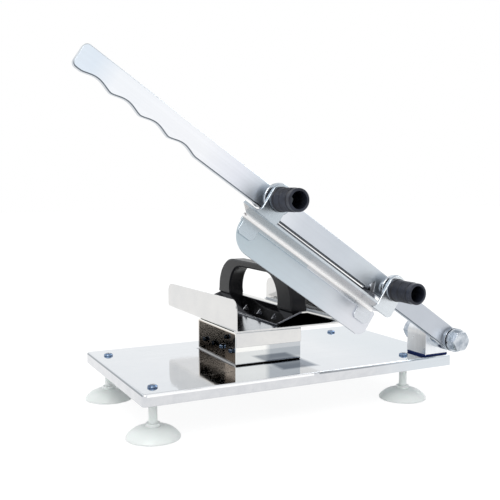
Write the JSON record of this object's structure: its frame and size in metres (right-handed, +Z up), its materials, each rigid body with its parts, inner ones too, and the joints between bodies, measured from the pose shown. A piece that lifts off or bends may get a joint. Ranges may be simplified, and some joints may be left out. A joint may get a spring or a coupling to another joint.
{
  "type": "manual frozen meat slicer",
  "caption": "Bench slicer with a hinged lever blade, spring-loaded thickness plate set by knobs, a tray with a toothed pusher, and a steel base on suction feet.",
  "frame": {"origin": "middle of the whole object's box, on the surface the feet stand on", "axes": "+X towards the lever's pivot, +Y away from the user along the tray, +Z up"},
  "size_m": [0.4008, 0.3286, 0.3351],
  "materials": {
    "polished_steel": "mirror polish",
    "satin_steel": "satin",
    "blade_steel": "ground",
    "cast_steel": "ground",
    "bolt_chrome": "bright",
    "dark_spring_steel": "oiled",
    "zinc": "zinc plated",
    "gasket": "matt",
    "black_plastic": "semi gloss",
    "cup": "translucent"
  },
  "bodies": {
    "base": {"base_plate": "polished_steel", "foot_near_left": "cup", "foot_far_left": "cup", "foot_near_right": "cup", "foot_far_right": "cup", "foot_screws": "zinc", "bracket_gasket": "gasket", "pivot_bracket": "cast_steel", "bracket_screws": "zinc", "pivot_bolt": "bolt_chrome", "pivot_washers": "bolt_chrome", "pivot_lock_washers": "dark_spring_steel", "pivot_spacer": "bolt_chrome", "pivot_nut": "bolt_chrome", "tray_stand": "polished_steel", "stand_screws": "zinc", "stand_nuts": "zinc", "tray": "polished_steel"},
    "arm": {"cutting_arm": "satin_steel", "blade": "blade_steel", "blade_sleeves": "bolt_chrome", "blade_studs": "bolt_chrome", "arm_spring_washers": "bolt_chrome", "upper_spring": "dark_spring_steel", "lower_spring": "dark_spring_steel"},
    "gauge": {"plate_carrier": "satin_steel", "thickness_plate": "satin_steel", "ear_spring_washers": "bolt_chrome", "knob_washers": "bolt_chrome"},
    "upper_knob": {"upper_knob": "black_plastic"},
    "lower_knob": {"lower_knob": "black_plastic"},
    "pusher": {"press_plate": "polished_steel", "pusher_handle": "black_plastic", "handle_screws": "zinc"}
  },
  "joints": [
    {"name": "arm_pivot", "type": "hinge", "parent": "base", "child": "arm", "pos_m": [0.18294, -0.11575, 0.0669], "axis": [0, 1, 0], "range_deg": [-17.4, 46]},
    {"name": "gauge_slide", "type": "slide", "parent": "arm", "child": "gauge", "axis": [0, 1, 0], "range_m": [-0.005, 0.0027], "deforming": ["upper_spring", "lower_spring"]},
    {"name": "upper_knob_turn", "type": "hinge", "parent": "gauge", "child": "upper_knob", "pos_m": [-0.02515, -0.14875, 0.21045], "axis": [0, 1, 0], "range_deg": [-1442, 779]},
    {"name": "lower_knob_turn", "type": "hinge", "parent": "gauge", "child": "lower_knob", "pos_m": [0.09939, -0.14875, 0.12454], "axis": [0, 1, 0], "range_deg": [-1442, 779]},
    {"name": "pusher_slide", "type": "slide", "parent": "base", "child": "pusher", "axis": [0, 1, 0], "range_m": [-0.055, 0.04]}
  ],
  "couplings": [
    {"joint": "upper_knob_turn", "follows": "gauge_slide", "rad_per_m": 5026.5},
    {"joint": "lower_knob_turn", "follows": "gauge_slide", "rad_per_m": 5026.5}
  ]
}
